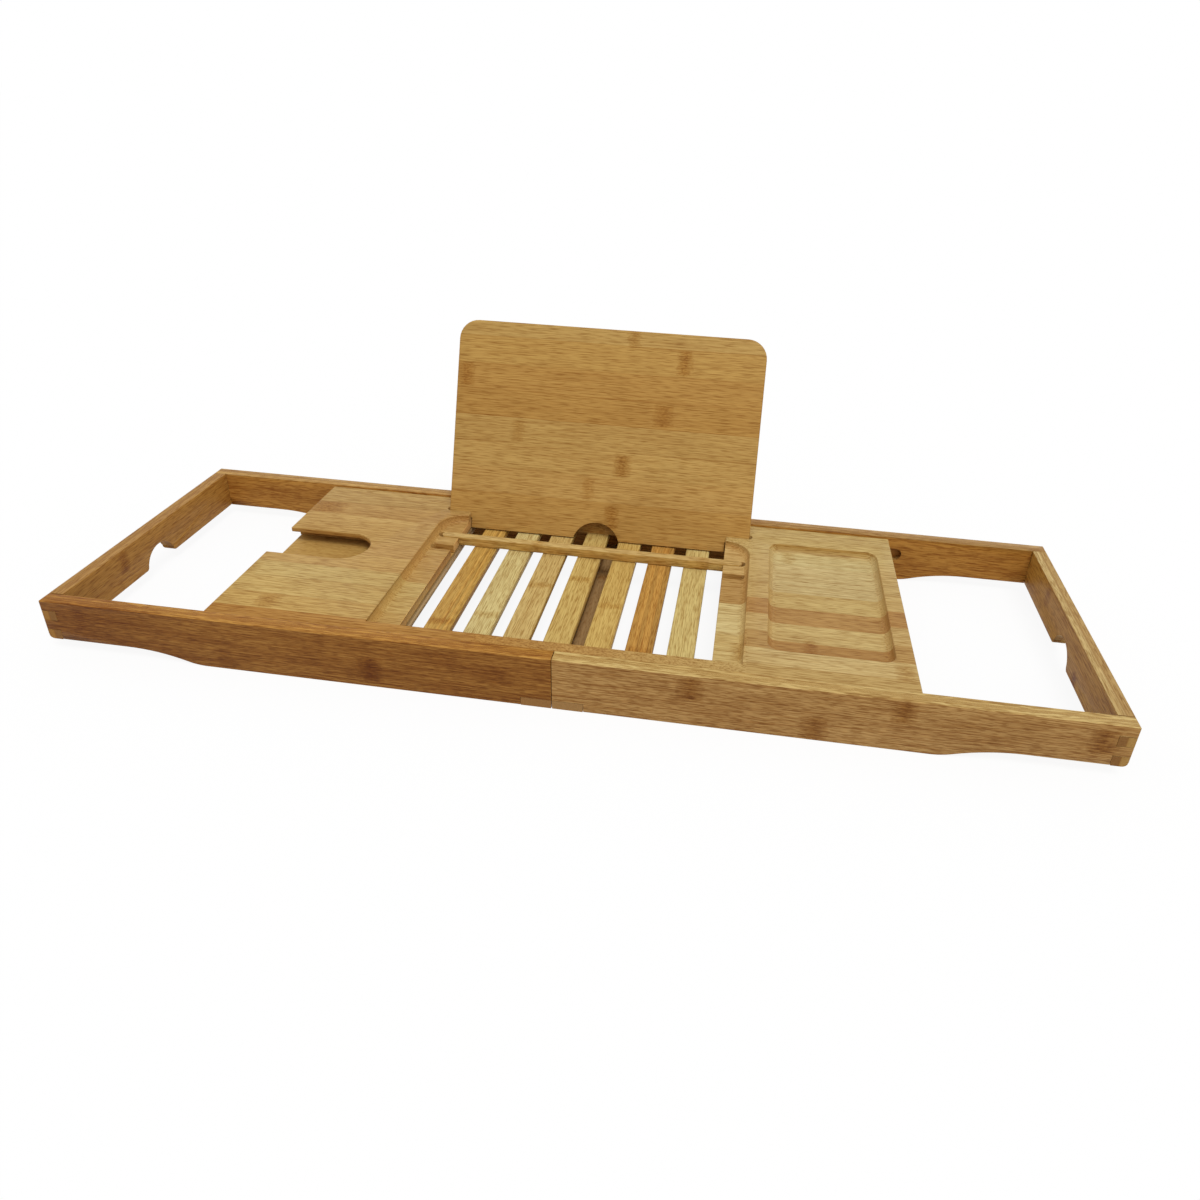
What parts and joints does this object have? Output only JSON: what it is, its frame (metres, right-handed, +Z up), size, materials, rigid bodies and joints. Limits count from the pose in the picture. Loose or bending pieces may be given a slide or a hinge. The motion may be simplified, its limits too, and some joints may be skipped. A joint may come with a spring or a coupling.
{
  "type": "bath caddy",
  "caption": "Extending bamboo bath tray with two sliding end frames, a glass slot, a soap tray, a slatted window with a ledge bar and a lift-out leaning book rest.",
  "frame": {"origin": "bottom centre of the bounding box with the frames closed and the book rest standing", "axes": "+X along the caddy from the glass slot to the soap tray, +Y away from the bather, +Z up"},
  "size_m": [0.75, 0.2656, 0.195],
  "materials": {
    "bamboo_deck": "satin clear lacquer on pale carbonised bamboo, grain along X",
    "bamboo_rail": "satin clear lacquer on darker bamboo strips",
    "bamboo_slat": "satin clear lacquer, grain along Y, each slat its own shade",
    "bamboo_rest": "satin clear lacquer on carbonised bamboo board, grain along X",
    "bamboo_under": "matt underside board",
    "bamboo_runner": "waxed bamboo strip",
    "screw_steel": "plated countersunk screws"
  },
  "bodies": {
    "tray": {"deck": "bamboo_deck", "front_runner": "bamboo_runner", "back_runner": "bamboo_runner", "slat_1": "bamboo_slat", "slat_2": "bamboo_slat", "slat_3": "bamboo_slat", "slat_4": "bamboo_slat", "slat_5": "bamboo_slat", "slat_6": "bamboo_slat", "slat_7": "bamboo_slat", "slat_1_front_screw": "screw_steel", "slat_1_back_screw": "screw_steel", "slat_2_front_screw": "screw_steel", "slat_2_back_screw": "screw_steel", "slat_3_front_screw": "screw_steel", "slat_3_back_screw": "screw_steel", "slat_4_front_screw": "screw_steel", "slat_4_back_screw": "screw_steel", "slat_5_front_screw": "screw_steel", "slat_5_back_screw": "screw_steel", "slat_6_front_screw": "screw_steel", "slat_6_back_screw": "screw_steel", "slat_7_front_screw": "screw_steel", "slat_7_back_screw": "screw_steel", "left_base_plate": "bamboo_under", "right_base_plate": "bamboo_under", "left_base_plate_screw_1": "screw_steel", "left_base_plate_screw_2": "screw_steel", "left_base_plate_screw_3": "screw_steel", "left_base_plate_screw_4": "screw_steel", "right_base_plate_screw_1": "screw_steel", "right_base_plate_screw_2": "screw_steel", "right_base_plate_screw_3": "screw_steel", "right_base_plate_screw_4": "screw_steel", "left_stop_cleat": "bamboo_runner", "right_stop_cleat": "bamboo_runner", "left_stop_cleat_front_screw": "screw_steel", "left_stop_cleat_back_screw": "screw_steel", "right_stop_cleat_front_screw": "screw_steel", "right_stop_cleat_back_screw": "screw_steel"},
    "left_frame": {"left_front_rail": "bamboo_rail", "left_back_rail": "bamboo_rail", "left_end_rail": "bamboo_rail", "left_stretcher": "bamboo_rail", "left_stretcher_front_screw": "screw_steel", "left_stretcher_back_screw": "screw_steel"},
    "right_frame": {"right_front_rail": "bamboo_rail", "right_back_rail": "bamboo_rail", "right_end_rail": "bamboo_rail", "right_stretcher": "bamboo_rail", "right_stretcher_front_screw": "screw_steel", "right_stretcher_back_screw": "screw_steel"},
    "ledge_bar": {"ledge_bar": "bamboo_deck"},
    "book_rest": {"book_rest": "bamboo_rest"}
  },
  "joints": [
    {"name": "left_extension", "type": "slide", "parent": "tray", "child": "left_frame", "axis": [-1, 0, 0], "range_m": [0, 0.17]},
    {"name": "right_extension", "type": "slide", "parent": "tray", "child": "right_frame", "axis": [1, 0, 0], "range_m": [0, 0.17]},
    {"name": "ledge_lift", "type": "slide", "parent": "tray", "child": "ledge_bar", "axis": [0, 0, 1], "range_m": [0, 0.015]},
    {"name": "book_rest_lift", "type": "slide", "parent": "tray", "child": "book_rest", "axis": [0, 0.3584, 0.9336], "range_m": [0, 0.025]}
  ]
}
